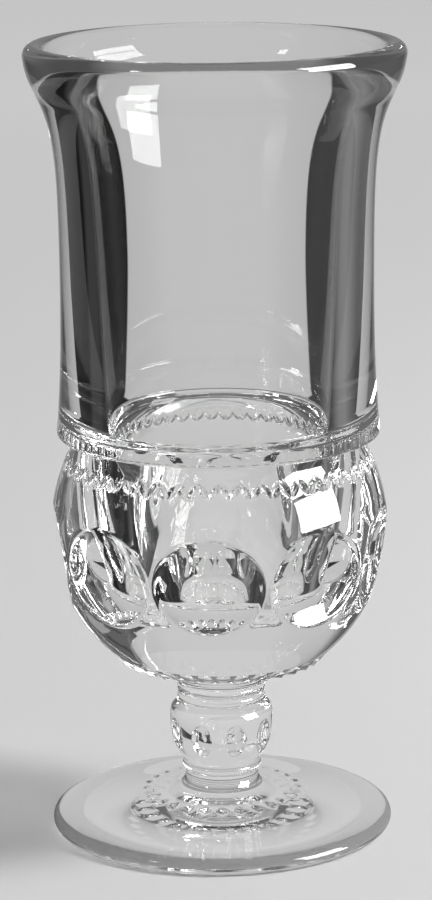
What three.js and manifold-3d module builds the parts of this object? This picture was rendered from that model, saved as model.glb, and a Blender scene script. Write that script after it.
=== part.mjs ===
// A footed iced tea glass in clear pressed glass, in millimetres, with +Z up and the table at z = 0.
// It is a stack of six bodies of glass, fused at flat seams: foot, base ring, knop, collar, bulb and flared cup.
import * as THREE from "three";
import { mergeVertices } from "three/addons/utils/BufferGeometryUtils.js";
import Module from "manifold-3d";

const degrees = THREE.MathUtils.degToRad;

// Foot
const FOOT_RADIUS = 38.3;
const FOOT_EDGE_HEIGHT = 3.4;
const FOOT_HEIGHT = 12.8;
const FOOT_HOLLOW = 0.7; // how far the sloping top dips below a straight cone
const HUB_RADIUS = 17.0;
const HUB_RIM_HEIGHT = 7.6;
const HUB_COVE_REACH = 7.5; // how far the cove at the top of the hub runs level
const HUB_COVE_DROP = 3.4; // and how far it runs straight down
const REST_OUTER_RADIUS = 36.0;
const REST_INNER_RADIUS = 31.0;
const KICK_HEIGHT = 2.4; // rise of the underside at its middle
const HUB_DENT_COUNT = 27;
const HUB_DENT_LENGTH = 3.0;
const HUB_DENT_DEPTH = 0.7;

// Stem, from the foot up
const RING_RADIUS = 8.9;
const RING_SEAM_RADIUS = 8.1;
const RING_HEIGHT = 1.9;
const KNOP_BASE_RADIUS = 7.8;
const KNOP_RADIUS = 11.6;
const KNOP_TOP_RADIUS = 9.3;
const KNOP_HEIGHT = 14.2;
const KNOP_WIDEST_HEIGHT = 10.8;
const KNOP_BELLY = 8.0; // how far the side runs straight down from the widest ring
const KNOP_SHOULDER = 2.6; // and how far it runs straight up
const OVAL_COUNT = 9;
const OVAL_WIDTH = 5.0;
const OVAL_HEIGHT = 8.8;
const OVAL_REACH = 12.5; // from the axis to the middle of an oval cutter
const OVAL_LIFT = 7.0;
const OVAL_LEAN = degrees(-9);
const COLLAR_RADIUS = 9.9;
const COLLAR_SEAM_RADIUS = 9.1;
const COLLAR_BEAD_HEIGHT = 2.1;
const COLLAR_BEAD_COUNT = 2;

// Bulb: a ball of glass with its top cut off flat and a sloping band round its bottom edge
const BULB_RADIUS = 37.4;
const BULB_TOP_RADIUS = 31.1;
const BULB_LIFT = 30.6; // from the bottom edge up to the middle of the ball
const BULB_EDGE_RADIUS = 22.6;
const BULB_UNDERSIDE_DROP = 5.7;
const BAND_HEIGHT = 2.4;
const FLOOR_THICKNESS = 21.0; // from the collar's seam up to the inside floor
const FLOOR_RADIUS = 18.6;
const FLOOR_CORNER = 5.0; // size of the rounded corner of the inside floor
const BOWL_WALL_RUN = 12.0; // how far the cup's inner taper runs on down
const THUMBPRINT_COUNT = 9;
const THUMBPRINT_DIAMETER = 23.8;
const THUMBPRINT_DEPTH = 2.8;
const THUMBPRINT_DROP = 5.8; // below the middle of the ball
const THUMBPRINT_TURN = degrees(-3.8); // of the front thumbprint from -Y
const ZIGZAG_COUNT = 48;
const ZIGZAG_HEIGHT = 3.4;
const ZIGZAG_LIFT = 15.3; // above the middle of the ball
const ZIGZAG_DEPTH = 0.7;
const NOTCH_COUNT = 36;
const NOTCH_HEIGHT = 4.4;
const NOTCH_DEPTH = 1.1;

// Cup
const CUP_HEIGHT = 86.6;
const LEDGE_RADIUS = 35.8;
const LEDGE_ROUNDING = 1.2;
const LEDGE_TAPER = 14.0; // height at which the taper over the ledge aims
const WAIST_RADIUS = 34.5;
const WAIST_HEIGHT = 33.7;
const WAIST_RUN = 24.0; // how far the wall runs straight up from the waist
const FLARE_RADIUS = 38.0;
const FLARE_DROP = 13.1; // below the top of the lip
const FLARE_LEAN = degrees(23);
const FLARE_RUN = 8.0;
const LIP_RADIUS = 41.7;
const LIP_THICKNESS = 4.0;
const LIP_LEAN = degrees(8);
const LIP_RUN = 5.0;
const MOUTH_LEAN = degrees(45); // of the inside where it meets the lip
const MOUTH_RUN = 1.5;
const THROAT_RADIUS = 33.0;
const THROAT_DROP = 8.8; // below the top of the lip
const THROAT_LEAN = degrees(28);
const THROAT_RISE = 5.0; // how far the inside runs straight up from the throat
const THROAT_RUN = 12.0; // and how far it runs straight down
const CAVITY_WAIST_RADIUS = 26.4;
const CAVITY_WAIST_HEIGHT = 33.8;
const CAVITY_WAIST_RUN = 24.0;
const CAVITY_SEAM_RADIUS = 25.0;

// Mesh fineness
const ROUND_STEPS = 54;
const STEM_STEPS = 36;
const BALL_STEPS = 16;
const MERGE_DISTANCE = 1e-4;

// Heights of the seams, stacked from the table up
const ringSeam = FOOT_HEIGHT;
const knopSeam = ringSeam + RING_HEIGHT;
const collarSeam = knopSeam + KNOP_HEIGHT;
const bulbSeam = collarSeam + COLLAR_BEAD_COUNT * COLLAR_BEAD_HEIGHT;
const bulbEdge = bulbSeam + BULB_UNDERSIDE_DROP;
const bulbCentre = bulbEdge + BULB_LIFT;
const cupSeam = bulbCentre + Math.sqrt(BULB_RADIUS ** 2 - BULB_TOP_RADIUS ** 2);

const UP = new THREE.Vector3(0, 0, 1);
const wasm = await Module();
wasm.setup();

function point(radius, height) {
  return new THREE.Vector2(radius, height);
}

// The point a distance from another, at an angle from straight up towards the outside.
function beyond(start, distance, lean) {
  return point(start.x + distance * Math.sin(lean), start.y + distance * Math.cos(lean));
}

// Points along a Bezier curve of three or four control points, without the first.
function bend(steps, ...controls) {
  const Curve = controls.length === 3 ? THREE.QuadraticBezierCurve : THREE.CubicBezierCurve;
  return new Curve(...controls).getPoints(steps).slice(1);
}

// Points along a circular arc, both ends included, at angles above the outward direction.
function arc(steps, centre, radius, fromAngle, toAngle) {
  return Array.from({ length: steps + 1 }, (_, i) => {
    const angle = THREE.MathUtils.lerp(fromAngle, toAngle, i / steps);
    return point(centre.x + radius * Math.cos(angle), centre.y + radius * Math.sin(angle));
  });
}

// A closed solid from a geometry whose seams and poles are merged.
function solidOf(geometry) {
  const bare = new THREE.BufferGeometry().setAttribute("position", geometry.getAttribute("position"));
  bare.setIndex(geometry.index);
  const merged = mergeVertices(bare, MERGE_DISTANCE);
  const corners = merged.index.array;
  const triVerts = [];
  for (let i = 0; i < corners.length; i += 3) {
    const [a, b, c] = [corners[i], corners[i + 1], corners[i + 2]];
    if (a !== b && b !== c && c !== a) triVerts.push(a, b, c);
  }
  const vertProperties = merged.getAttribute("position").array;
  return new wasm.Manifold(new wasm.Mesh({ numProp: 3, vertProperties, triVerts: new Uint32Array(triVerts) }));
}

function geometryOf(solid) {
  const { vertProperties, triVerts } = solid.getMesh();
  const geometry = new THREE.BufferGeometry();
  geometry.setAttribute("position", new THREE.BufferAttribute(vertProperties, 3));
  geometry.setIndex(new THREE.BufferAttribute(triVerts, 1));
  geometry.computeVertexNormals();
  return geometry;
}

// Turns a profile, listed upwards on its outside, about the Z axis.
function turned(profile, steps) {
  return solidOf(new THREE.LatheGeometry(profile, steps).rotateX(Math.PI / 2));
}

function cut(solid, cutters) {
  return wasm.Manifold.difference([solid, ...cutters]);
}

// A direction from the axis at an azimuth (0 faces -Y) and an angle above the horizontal.
function direction(azimuth, elevation) {
  const level = Math.cos(elevation);
  return new THREE.Vector3(level * Math.sin(azimuth), -level * Math.cos(azimuth), Math.sin(elevation));
}

// A cutter moved to a radius and height, with its own +Z facing out at an elevation and its own +X facing up.
function placed(geometry, azimuth, radius, height, elevation) {
  const position = direction(azimuth, 0).multiplyScalar(radius).setZ(height);
  const outwards = direction(azimuth, elevation);
  const side = new THREE.Vector3().crossVectors(outwards, UP).normalize();
  const slope = new THREE.Vector3().crossVectors(side, outwards);
  const matrix = new THREE.Matrix4().makeBasis(slope, side, outwards).setPosition(position);
  return solidOf(geometry.clone().applyMatrix4(matrix));
}

function around(count, start, make) {
  return Array.from({ length: count }, (_, i) => make(start + (i * 2 * Math.PI) / count));
}

// A three-sided pyramid that presses a triangular dent; its point faces down the slope, or up it.
function dentCutter(width, height, depth, pointsUp) {
  const cornerRadius = width / Math.sqrt(3);
  const pyramid = new THREE.ConeGeometry(2 * cornerRadius, 2 * depth, 3).rotateX(-Math.PI / 2);
  pyramid.rotateZ(pointsUp ? -Math.PI / 2 : Math.PI / 2);
  return pyramid.scale(height / (1.5 * cornerRadius), 1, 1);
}

// A row of dents that meet at their corners, round a ring of the given radius and height.
function dentRow(count, start, radius, height, elevation, dentHeight, depth, pointsUp) {
  const cutter = dentCutter((2 * Math.PI * radius) / count, dentHeight, depth, pointsUp);
  return around(count, start, (azimuth) => placed(cutter, azimuth, radius, height, elevation));
}

function footProfile() {
  const edgeRound = FOOT_EDGE_HEIGHT / 2;
  const edge = arc(4, point(FOOT_RADIUS - edgeRound, edgeRound), edgeRound, -Math.PI / 2, Math.PI / 2);
  const slopeFoot = edge.at(-1);
  const hubRim = point(HUB_RADIUS, HUB_RIM_HEIGHT);
  const slopeAim = slopeFoot.clone().lerp(hubRim, 0.5).sub(point(0, FOOT_HOLLOW));
  const hubTop = point(RING_SEAM_RADIUS, FOOT_HEIGHT);
  const kick = point(0, KICK_HEIGHT);
  const rest = point(REST_INNER_RADIUS, 0);
  return [
    kick,
    ...bend(3, kick, point(REST_INNER_RADIUS / 2, KICK_HEIGHT), rest),
    point(REST_OUTER_RADIUS, 0),
    ...edge,
    ...bend(3, slopeFoot, slopeAim, hubRim),
    ...bend(5, hubRim, beyond(hubRim, -HUB_COVE_REACH, Math.PI / 2), beyond(hubTop, -HUB_COVE_DROP, 0), hubTop),
    point(0, FOOT_HEIGHT),
  ];
}

// The hub's rim carries a ring of dents whose points run out down the foot.
function foot() {
  const slope = Math.atan2(FOOT_RADIUS - HUB_RADIUS, HUB_RIM_HEIGHT - FOOT_EDGE_HEIGHT);
  const row = [HUB_DENT_COUNT, 0, HUB_RADIUS, HUB_RIM_HEIGHT, slope, HUB_DENT_LENGTH, HUB_DENT_DEPTH, false];
  return cut(turned(footProfile(), ROUND_STEPS), dentRow(...row));
}

// A bead between two seams: the points of its rounded side, without the first.
function bead(seamRadius, radius, low, height) {
  const aim = seamRadius + ((radius - seamRadius) * 4) / 3;
  const start = point(seamRadius, low);
  const end = point(seamRadius, low + height);
  return bend(5, start, point(aim, start.y), point(aim, end.y), end);
}

function baseRing() {
  const side = bead(RING_SEAM_RADIUS, RING_RADIUS, 0, RING_HEIGHT);
  return turned([point(0, 0), point(RING_SEAM_RADIUS, 0), ...side, point(0, RING_HEIGHT)], STEM_STEPS);
}

function knopProfile() {
  const base = point(KNOP_BASE_RADIUS, 0);
  const widest = point(KNOP_RADIUS, KNOP_WIDEST_HEIGHT);
  const top = point(KNOP_TOP_RADIUS, KNOP_HEIGHT);
  return [
    point(0, 0),
    base,
    ...bend(6, base, beyond(widest, -KNOP_BELLY, 0), widest),
    ...bend(4, widest, beyond(widest, KNOP_SHOULDER, 0), top),
    point(0, KNOP_HEIGHT),
  ];
}

// Small oval dishes round the lower half of the knop, each below the gap between two thumbprints.
function knop() {
  const ball = new THREE.SphereGeometry(OVAL_WIDTH / 2, BALL_STEPS / 2, BALL_STEPS / 2);
  ball.scale(OVAL_HEIGHT / OVAL_WIDTH, 1, 1);
  const start = THUMBPRINT_TURN + Math.PI / OVAL_COUNT;
  const ovals = around(OVAL_COUNT, start, (azimuth) => placed(ball, azimuth, OVAL_REACH, OVAL_LIFT, OVAL_LEAN));
  return cut(turned(knopProfile(), STEM_STEPS), ovals);
}

// Stacked beads with grooves between them.
function collar() {
  const profile = [point(0, 0), point(COLLAR_SEAM_RADIUS, 0)];
  for (let i = 0; i < COLLAR_BEAD_COUNT; i += 1) {
    profile.push(...bead(COLLAR_SEAM_RADIUS, COLLAR_RADIUS, i * COLLAR_BEAD_HEIGHT, COLLAR_BEAD_HEIGHT));
  }
  return turned([...profile, point(0, COLLAR_BEAD_COUNT * COLLAR_BEAD_HEIGHT)], STEM_STEPS);
}

function bulbProfile() {
  const bandAngle = -Math.asin((BULB_LIFT - BAND_HEIGHT) / BULB_RADIUS);
  const topAngle = Math.acos(BULB_TOP_RADIUS / BULB_RADIUS);
  const edge = point(BULB_EDGE_RADIUS, bulbEdge);
  const neck = point(COLLAR_SEAM_RADIUS, bulbSeam);
  const rim = point(CAVITY_SEAM_RADIUS, cupSeam);
  const taper = Math.atan2(CAVITY_WAIST_RADIUS - CAVITY_SEAM_RADIUS, CAVITY_WAIST_HEIGHT);
  const floor = point(0, bulbSeam + FLOOR_THICKNESS);
  const corner = point(FLOOR_RADIUS, floor.y + FLOOR_CORNER);
  const floorEdge = point(FLOOR_RADIUS - FLOOR_CORNER, floor.y);
  return [
    point(0, bulbSeam),
    neck,
    ...bend(3, neck, point(COLLAR_SEAM_RADIUS, bulbEdge), edge),
    ...arc(11, point(0, bulbCentre), BULB_RADIUS, bandAngle, topAngle),
    rim,
    ...bend(5, rim, beyond(rim, -BOWL_WALL_RUN, taper), corner),
    ...bend(3, corner, point(FLOOR_RADIUS, floor.y), floorEdge),
    floor,
  ];
}

// Ball cutters whose caps leave round dishes of the thumbprint's diameter and depth.
function thumbprints() {
  const half = THUMBPRINT_DIAMETER / 2;
  const ballRadius = (half ** 2 + THUMBPRINT_DEPTH ** 2) / (2 * THUMBPRINT_DEPTH);
  const reach = Math.sqrt(BULB_RADIUS ** 2 - half ** 2) - THUMBPRINT_DEPTH + ballRadius;
  const tilt = -Math.asin(THUMBPRINT_DROP / BULB_RADIUS);
  const ball = new THREE.SphereGeometry(ballRadius, BALL_STEPS, 2 * BALL_STEPS).rotateX(Math.PI / 2);
  const radius = reach * Math.cos(tilt);
  const height = bulbCentre + reach * Math.sin(tilt);
  return around(THUMBPRINT_COUNT, THUMBPRINT_TURN, (azimuth) => placed(ball, azimuth, radius, height, tilt));
}

// Dents with their points down leave a zigzag on the ball's shoulder.
function zigzag() {
  const elevation = Math.asin(ZIGZAG_LIFT / BULB_RADIUS);
  const radius = BULB_RADIUS * Math.cos(elevation);
  const place = [radius, bulbCentre + ZIGZAG_LIFT, elevation];
  return dentRow(ZIGZAG_COUNT, THUMBPRINT_TURN, ...place, ZIGZAG_HEIGHT, ZIGZAG_DEPTH, false);
}

// Dents with their points up notch the band round the bottom edge.
function notches() {
  const bandTop = Math.sqrt(BULB_RADIUS ** 2 - (BULB_LIFT - BAND_HEIGHT) ** 2);
  const radius = (bandTop + BULB_EDGE_RADIUS) / 2;
  const elevation = -Math.atan2(bandTop - BULB_EDGE_RADIUS, BAND_HEIGHT);
  const place = [radius, bulbEdge + BAND_HEIGHT / 2, elevation];
  return dentRow(NOTCH_COUNT, THUMBPRINT_TURN, ...place, NOTCH_HEIGHT, NOTCH_DEPTH, true);
}

function bulb() {
  return cut(turned(bulbProfile(), ROUND_STEPS), [...thumbprints(), ...zigzag(), ...notches()]);
}

function cupProfile() {
  const ledgeCentre = point(LEDGE_RADIUS - LEDGE_ROUNDING, LEDGE_ROUNDING);
  const ledge = arc(3, ledgeCentre, LEDGE_ROUNDING, -Math.PI / 2, 0);
  const ledgeTop = ledge.at(-1);
  const waist = point(WAIST_RADIUS, WAIST_HEIGHT);
  const flare = point(FLARE_RADIUS, CUP_HEIGHT - FLARE_DROP);
  const lipRound = LIP_THICKNESS / 2;
  const lipCentre = point(LIP_RADIUS - lipRound, CUP_HEIGHT - lipRound);
  const lip = arc(7, lipCentre, lipRound, -LIP_LEAN, Math.PI - MOUTH_LEAN);
  const lipInside = lip.at(-1);
  const throat = point(THROAT_RADIUS, CUP_HEIGHT - THROAT_DROP);
  const cavityWaist = point(CAVITY_WAIST_RADIUS, CAVITY_WAIST_HEIGHT);
  const cavitySeam = point(CAVITY_SEAM_RADIUS, 0);
  const lipAim = beyond(lip[0], -LIP_RUN, LIP_LEAN);
  const mouthAim = beyond(lipInside, -MOUTH_RUN, MOUTH_LEAN);
  const throatAim = beyond(throat, THROAT_RISE, THROAT_LEAN);
  const taper = Math.atan2(CAVITY_WAIST_RADIUS - CAVITY_SEAM_RADIUS, CAVITY_WAIST_HEIGHT);
  const waistAim = beyond(cavityWaist, CAVITY_WAIST_RUN, taper);
  return [
    cavitySeam,
    ...ledge,
    ...bend(3, ledgeTop, point(WAIST_RADIUS, LEDGE_TAPER), waist),
    ...bend(5, waist, beyond(waist, WAIST_RUN, 0), beyond(flare, -FLARE_RUN, FLARE_LEAN), flare),
    ...bend(3, flare, beyond(flare, LIP_RUN, FLARE_LEAN), lipAim, lip[0]),
    ...lip.slice(1),
    ...bend(3, lipInside, mouthAim, throatAim, throat),
    ...bend(5, throat, beyond(throat, -THROAT_RUN, THROAT_LEAN), waistAim, cavityWaist),
    cavitySeam,
  ];
}

function cup() {
  return turned(cupProfile(), ROUND_STEPS);
}

function clearGlass() {
  return new THREE.MeshStandardMaterial({
    color: 0xeef2f1,
    roughness: 0.04,
    metalness: 0,
    transparent: true,
    opacity: 0.35,
  });
}

function piece(name, solid, height) {
  const mesh = new THREE.Mesh(geometryOf(solid), clearGlass());
  mesh.name = name;
  mesh.position.z = height;
  return mesh;
}

const glass = new THREE.Group();
glass.add(
  piece("foot", foot(), 0),
  piece("base_ring", baseRing(), ringSeam),
  piece("stem_knop", knop(), knopSeam),
  piece("neck_collar", collar(), collarSeam),
  piece("thumbprint_bulb", bulb(), 0),
  piece("flared_cup", cup(), cupSeam),
);

export default glass;
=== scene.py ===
"""A footed iced tea glass in clear pressed glass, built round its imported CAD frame."""

import math
from collections import namedtuple

import bmesh
import bpy
from bpy.props import FloatProperty, FloatVectorProperty, IntProperty, PointerProperty
from bpy.types import Operator, Panel, PropertyGroup
from mathutils import Matrix, Vector


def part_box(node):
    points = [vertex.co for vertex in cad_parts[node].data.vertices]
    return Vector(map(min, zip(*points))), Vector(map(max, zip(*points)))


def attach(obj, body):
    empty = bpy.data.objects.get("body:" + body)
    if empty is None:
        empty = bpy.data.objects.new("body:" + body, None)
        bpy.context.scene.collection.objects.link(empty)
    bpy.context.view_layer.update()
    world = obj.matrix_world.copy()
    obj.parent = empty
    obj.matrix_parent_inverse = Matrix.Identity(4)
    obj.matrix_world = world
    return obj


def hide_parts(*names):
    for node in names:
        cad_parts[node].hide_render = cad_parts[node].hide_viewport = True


bl_info = {
    "name": "Pressed iced tea glass",
    "version": (1, 0, 0),
    "blender": (4, 5, 0),
    "location": "View3D > Sidebar > Glass",
    "description": "Builds a footed iced tea glass in pressed glass, with its stage",
    "category": "Add Mesh",
}

MM = 0.001
BODY = "root"
RIGHT_ANGLE = math.pi / 2.0
FULL_TURN = 2.0 * math.pi
ABOUT_AXIS = {"center": (0.0, 0.0, 0.0), "axis": (0.0, 0.0, 1.0)}
SMOOTH_ANGLE = math.radians(32.0)  # edges that turn further than this stay sharp
MERGE_DISTANCE = 0.002 * MM
SEAM_TOLERANCE = 0.01 * MM
LEVEL_NORMAL = 0.999  # Z of the normal above which a face counts as level
FIRST_COLOUR = 6
SECOND_COLOUR = 7
COLOUR_RESULT = 2

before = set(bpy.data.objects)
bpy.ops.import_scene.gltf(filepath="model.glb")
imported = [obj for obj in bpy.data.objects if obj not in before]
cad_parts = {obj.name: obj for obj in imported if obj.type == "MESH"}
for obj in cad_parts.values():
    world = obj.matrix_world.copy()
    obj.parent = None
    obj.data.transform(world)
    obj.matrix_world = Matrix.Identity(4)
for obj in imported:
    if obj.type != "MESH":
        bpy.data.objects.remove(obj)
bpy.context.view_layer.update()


def seam_height(node):
    """The height of the flat seam under a CAD node."""
    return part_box(node)[0].z


RING_SEAM = seam_height("base_ring")
KNOP_SEAM = seam_height("stem_knop")
COLLAR_SEAM = seam_height("neck_collar")
BULB_SEAM = seam_height("thumbprint_bulb")
CUP_SEAM = seam_height("flared_cup")
RIM_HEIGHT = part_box("flared_cup")[1].z


def length(name, description, millimetres):
    size = millimetres * MM
    return FloatProperty(name=name, description=description, default=size, unit="LENGTH", precision=5)


def angle(name, description, degrees):
    turn = math.radians(degrees)
    return FloatProperty(name=name, description=description, default=turn, subtype="ANGLE")


def share(name, description, value):
    return FloatProperty(
        name=name, description=description, default=value, min=0.0, max=1.0, subtype="FACTOR"
    )


def number(name, description, value):
    return FloatProperty(name=name, description=description, default=value)


def count(name, description, value, least=3):
    return IntProperty(name=name, description=description, default=value, min=least)


def colour(name, description, red, green, blue):
    value = (red, green, blue, 1.0)
    return FloatVectorProperty(name=name, description=description, default=value, size=4, subtype="COLOR")


def grey(name, description, level):
    return colour(name, description, level, level, level)


class CupSizes(PropertyGroup):
    """Sizes of the plain flared cup above the ledge."""

    lip_radius: length("Lip radius", "Outer radius of the lip", 41.7)
    lip_thickness: length("Lip thickness", "Thickness of the rounded lip", 5.0)
    lip_lean: angle("Lip lean", "Outward lean of the wall at the lip", 8.0)
    lip_run: length("Lip run", "Straightness of the wall under the lip", 5.0)
    flare_radius: length("Flare radius", "Outer radius in the middle of the flare", 38.0)
    flare_drop: length("Flare drop", "Middle of the flare below the top of the lip", 13.1)
    flare_lean: angle("Flare lean", "Outward lean of the wall in the flare", 23.0)
    flare_run: length("Flare run", "Straightness of the wall in the flare", 8.0)
    waist_radius: length("Waist radius", "Outer radius at the narrowest place", 34.5)
    waist_lift: length("Waist lift", "Narrowest place above the ledge", 33.7)
    waist_run: length("Waist run", "Straightness of the wall above the waist", 24.0)
    ledge_radius: length("Ledge radius", "Outer radius of the ledge", 35.8)
    ledge_rounding: length("Ledge rounding", "Rounding of the ledge's lower edge", 1.2)
    ledge_taper: length("Ledge taper", "Where the taper over the ledge aims", 14.0)
    inner_lip_lean: angle("Inner lip lean", "Outward lean of the inside at the lip", 70.0)
    inner_lip_run: length("Inner lip run", "Straightness of the inside under the lip", 1.5)
    throat_radius: length("Throat radius", "Inside radius under the open mouth", 32.5)
    throat_drop: length("Throat drop", "Throat below the top of the lip", 10.5)
    throat_lean: angle("Throat lean", "Outward lean of the inside at the throat", 27.0)
    throat_run: length("Throat run", "Straightness of the inside above the throat", 8.0)
    throat_depth: length("Throat depth", "Straightness of the inside below the throat", 10.0)
    inner_waist_radius: length("Inner waist radius", "Inside radius at the foot of the flare", 26.4)
    inner_waist_lift: length("Inner waist lift", "Foot of the inside flare above the ledge", 33.8)
    inner_waist_run: length("Inner waist run", "Straightness of the inside above its waist", 24.0)
    shoulder_radius: length("Shoulder radius", "Inside radius over the small shoulder", 25.2)
    shoulder_lift: length("Shoulder lift", "Small inside shoulder above the ledge", 3.6)
    shoulder_run: length("Shoulder run", "Straightness of the inside under its shoulder", 1.2)
    inner_seam_radius: length("Inner seam radius", "Inside radius at the ledge", 23.8)
    inner_seam_run: length("Inner seam run", "Straightness of the inside over the ledge", 1.8)
    steps: count("Steps", "Faces round the cup", 288)


class BulbSizes(PropertyGroup):
    """Sizes of the ball-shaped lower bowl."""

    radius: length("Radius", "Radius of the ball", 37.4)
    top_radius: length("Top radius", "Radius where the ball meets the ledge", 31.1)
    lift: length("Lift", "Ball's middle above the bottom edge", 30.6)
    edge_radius: length("Edge radius", "Radius of the bottom edge", 22.6)
    band_height: length("Band height", "Height of the band round the bottom edge", 2.4)
    floor_thickness: length("Floor thickness", "From the collar to the inside floor", 21.0)
    floor_radius: length("Floor radius", "Inside radius over the floor", 18.6)
    floor_corner: length("Floor corner", "Size of the floor's rounded corner", 5.0)
    wall_run: length("Wall run", "How far the inside taper runs on down", 12.0)
    print_count: count("Thumbprints", "Number of thumbprints", 9)
    print_diameter: length("Thumbprint width", "Width of a dished thumbprint", 23.8)
    print_height: length("Thumbprint height", "Height of a dished thumbprint", 22.0)
    print_depth: length("Thumbprint depth", "Depth of a thumbprint under its rim", 2.8)
    print_drop: length("Thumbprint drop", "Thumbprint's middle below the ball's", 5.8)
    print_turn: angle("Thumbprint turn", "Turn of the front thumbprint to the right", -3.8)
    print_rounding: length("Thumbprint rounding", "Rounding of a thumbprint's rim", 0.6)
    zigzag_count: count("Zigzags", "Number of zigzags", 48)
    zigzag_height: length("Zigzag height", "Height of the zigzag band", 3.3)
    zigzag_lift: length("Zigzag lift", "Zigzag band above the ball's middle", 15.3)
    zigzag_width: length("Zigzag width", "Width of one leaf-shaped stroke", 1.5)
    zigzag_depth: length("Zigzag depth", "Depth of one leaf-shaped stroke", 0.6)
    scallop_count: count("Scallops", "Number of scallops", 36)
    scallop_height: length("Scallop height", "Length of a scallop up the band", 3.4)
    scallop_depth: length("Scallop depth", "Depth of a scallop at the bottom edge", 1.3)


class StemSizes(PropertyGroup):
    """Sizes of the collar, the knop and the base ring."""

    collar_radius: length("Collar radius", "Radius of the collar's beads", 9.9)
    collar_seam_radius: length("Collar seam radius", "Radius between the beads", 9.1)
    collar_beads: count("Collar beads", "Number of stacked beads", 2, least=1)
    knop_radius: length("Knop radius", "Widest radius of the knop", 11.6)
    knop_top_radius: length("Knop top radius", "Radius of the knop under the collar", 9.3)
    knop_base_radius: length("Knop base radius", "Radius of the knop over the base ring", 7.8)
    knop_widest: length("Knop widest", "Widest place above the base ring", 10.8)
    knop_belly: length("Knop belly", "Straightness below the widest place", 8.0)
    knop_shoulder: length("Knop shoulder", "Straightness above the widest place", 2.6)
    oval_count: count("Ovals", "Number of oval dishes", 9)
    oval_width: length("Oval width", "Width of an oval dish", 5.0)
    oval_height: length("Oval height", "Height of an oval dish", 7.4)
    oval_depth: length("Oval depth", "Depth of an oval dish", 1.2)
    oval_lift: length("Oval lift", "Middle of an oval dish above the base ring", 7.0)
    ring_radius: length("Ring radius", "Radius of the base ring", 8.9)
    ring_seam_radius: length("Ring seam radius", "Radius of the base ring's seams", 8.1)
    steps: count("Steps", "Faces round the stem", 216)


class FootSizes(PropertyGroup):
    """Sizes of the foot."""

    radius: length("Radius", "Radius of the foot", 38.3)
    edge_height: length("Edge height", "Thickness of the rounded edge", 3.4)
    hollow: length("Hollow", "Dip of the top below a straight cone", 0.7)
    hub_radius: length("Hub radius", "Radius of the hub's toothed rim", 17.0)
    hub_rim_height: length("Hub rim height", "Height of the hub's toothed rim", 7.6)
    hub_cove_reach: length("Hub cove reach", "Level run of the hub's cove", 7.5)
    hub_cove_drop: length("Hub cove drop", "Straight drop of the hub's cove", 3.4)
    rest_outer_radius: length("Rest outer radius", "Outer radius of the resting ring", 36.0)
    rest_inner_radius: length("Rest inner radius", "Inner radius of the resting ring", 31.0)
    kick_height: length("Kick height", "Rise of the underside at its middle", 2.4)
    tooth_count: count("Teeth", "Number of teeth", 27)
    tooth_length: length("Tooth length", "Length of a tooth down the slope", 3.0)
    tooth_depth: length("Tooth depth", "Depth of the notches between teeth", 0.7)
    steps: count("Steps", "Faces round the foot", 432)


class GlassFinish(PropertyGroup):
    """Finish of the clear pressed glass."""

    tint: colour("Tint", "Colour of the glass", 0.985, 0.99, 0.985)
    ior: number("Index of refraction", "How strongly the glass bends light", 1.52)
    ripple_scale: number("Ripple scale", "Ripples a metre in the fire-polished skin", 55.0)
    ripple_detail: number("Ripple detail", "Finer ripples on the ripples", 1.0)
    ripple_roughness: share("Ripple roughness", "Strength of the finer ripples", 0.4)
    ripple_strength: share("Ripple strength", "Strength of the ripples", 0.04)
    ripple_height: length("Ripple height", "Height of the ripples", 0.05)
    trapped_colour: grey("Trapped colour", "What is left of light trapped in the glass", 0.75)
    trapped_bounces: number("Trapped bounces", "Mirrorings before trapped light gets out", 3.5)


class StageLook(PropertyGroup):
    """Floor, light and camera."""

    floor_colour: grey("Floor colour", "Colour of the pale floor", 0.8)
    floor_size: length("Floor size", "Length of the floor's sides", 12000.0)
    # Painted light and shade: the floor glows with these greys for glass instead of being lit, pale in a
    # strip behind the glass.
    painted_near_ground: grey("Near ground", "Pale ground under the glass, as glass shows it", 0.68)
    near_reach: length("Near reach", "How far the near ground reaches", 40.0)
    painted_far_ground: grey("Far ground", "Pale ground further away, as glass shows it", 0.56)
    far_reach: length("Far reach", "Where the far ground begins", 200.0)
    strip_half_width: length("Strip half width", "Half width of the pale ground", 82.0)
    strip_spread: share("Strip spread", "How fast the pale ground widens behind the glass", 0.12)
    strip_length: length("Strip length", "Where the pale ground begins to widen faster", 1150.0)
    strip_flare: number("Strip flare", "How fast the pale ground widens beyond that", 3.0)
    strip_front: length("Strip front", "Reach of the pale ground to the front", 350.0)
    strip_softness: length("Strip softness", "Width over which the pale ground fades", 6.0)
    room_colour: grey("Room colour", "Least that trapped light shows of the room", 0.18)
    # Painted light that makes the floor lighter towards the back.
    painted_back_light: number("Backdrop glow", "Light that the floor gains at the back", 0.2)
    glow_start: length("Glow start", "Where the floor begins to lighten", 50.0)
    glow_end: length("Glow end", "Where the floor is lightest", 1300.0)
    sky_colour: grey("Sky colour", "Colour of the soft light", 1.0)
    sky_strength: number("Sky strength", "Strength of the soft light", 0.42)
    window_power: number("Window power", "Watts a metre of the window's height", 56.0)
    fill_power: number("Fill power", "Watts of the smaller window", 1.5)
    key_power: number("Key power", "Watts of the light that throws the shadow", 6.5)
    camera_distance: length("Camera distance", "Camera in front of the glass", 735.6)
    camera_height: length("Camera height", "Camera above the floor", 258.7)
    camera_offset: length("Camera offset", "Camera left of the glass", 0.6)
    camera_pitch: angle("Camera pitch", "Downward tilt of the camera", 13.2)
    camera_roll: angle("Camera roll", "Roll of the camera", -0.6)
    camera_lens: FloatProperty(
        name="Lens", description="Focal length on a 36 mm frame", default=136.16, unit="CAMERA"
    )


def point(radius, height):
    return Vector((radius, height))


def beyond(start, distance, lean):
    """The point a distance from another, at an angle from straight up towards the outside."""
    return start + distance * point(math.sin(lean), math.cos(lean))


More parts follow.
